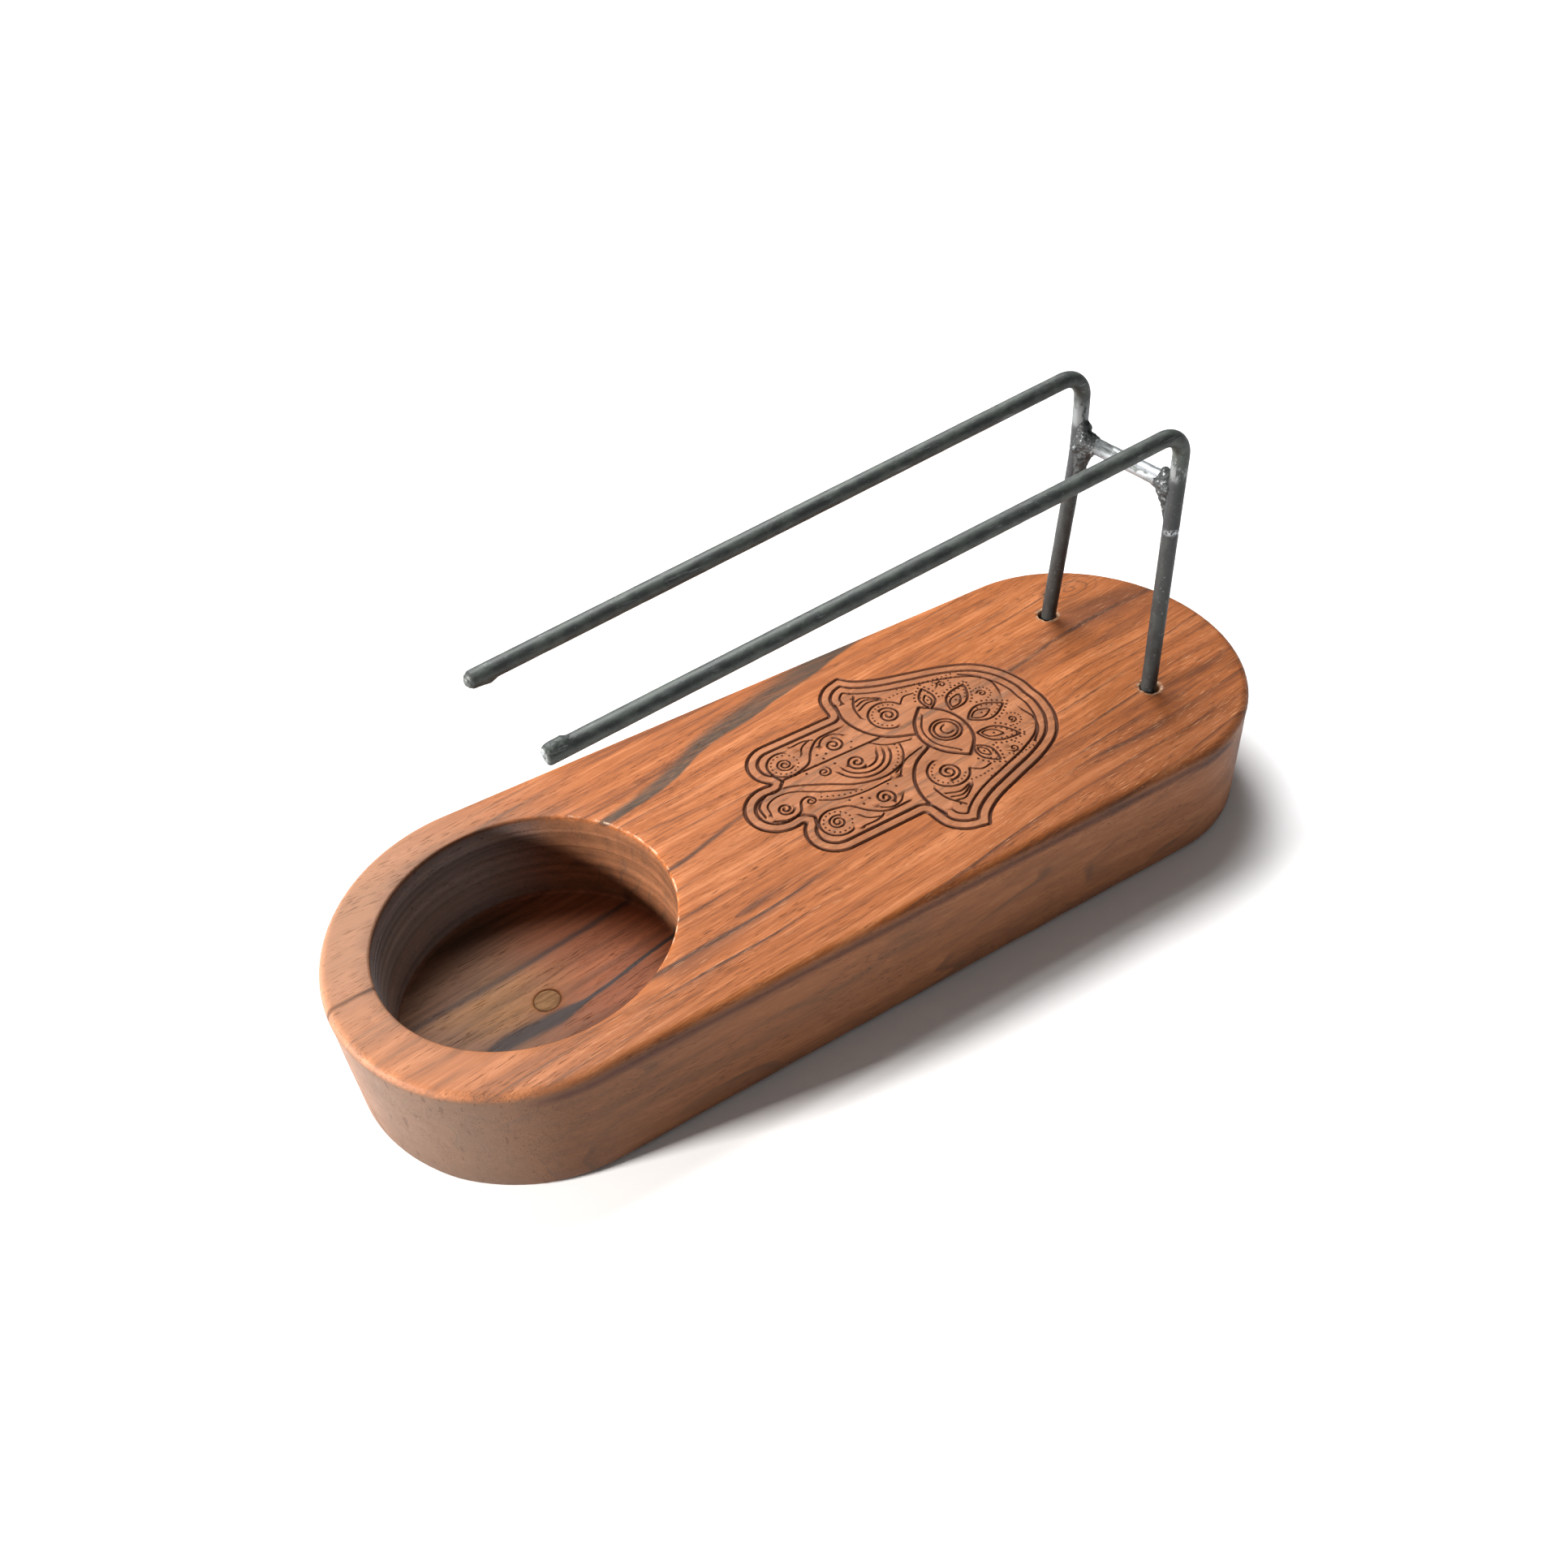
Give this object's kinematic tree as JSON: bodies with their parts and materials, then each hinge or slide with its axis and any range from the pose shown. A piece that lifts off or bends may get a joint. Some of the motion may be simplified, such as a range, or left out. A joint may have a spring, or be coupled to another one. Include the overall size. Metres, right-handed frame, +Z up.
{
  "type": "incense burner",
  "caption": "Long wooden block with rounded ends, a round ash pocket and a lift-out welded wire rest that holds a smudge stick over the pocket.",
  "frame": {"origin": "centre of the block's underside", "axes": "+X along the block from the ash pocket end to the wire end, +Y across it towards the leg that leans, +Z up"},
  "size_m": [0.181, 0.066, 0.0804],
  "materials": {
    "block_wood": "bare oiled hardwood, orange brown with darker streaks",
    "plug_wood": "bare pale end grain",
    "dark_wire": "black mill scale, satin",
    "bright_wire": "ground and scraped bright in places",
    "weld_metal": "lumpy weld, partly bright"
  },
  "bodies": {
    "block": {"base_block": "block_wood", "floor_plug": "plug_wood"},
    "wire_rest": {"near_rod": "dark_wire", "far_rod": "dark_wire", "cross_bar": "bright_wire", "near_weld_bead": "weld_metal", "far_weld_bead": "weld_metal", "near_tip_bead": "dark_wire", "far_tip_bead": "dark_wire"}
  },
  "joints": [
    {"name": "rest_lift", "type": "slide", "parent": "block", "child": "wire_rest", "axis": [0, 0, 1], "range_m": [0, 0.03]}
  ]
}
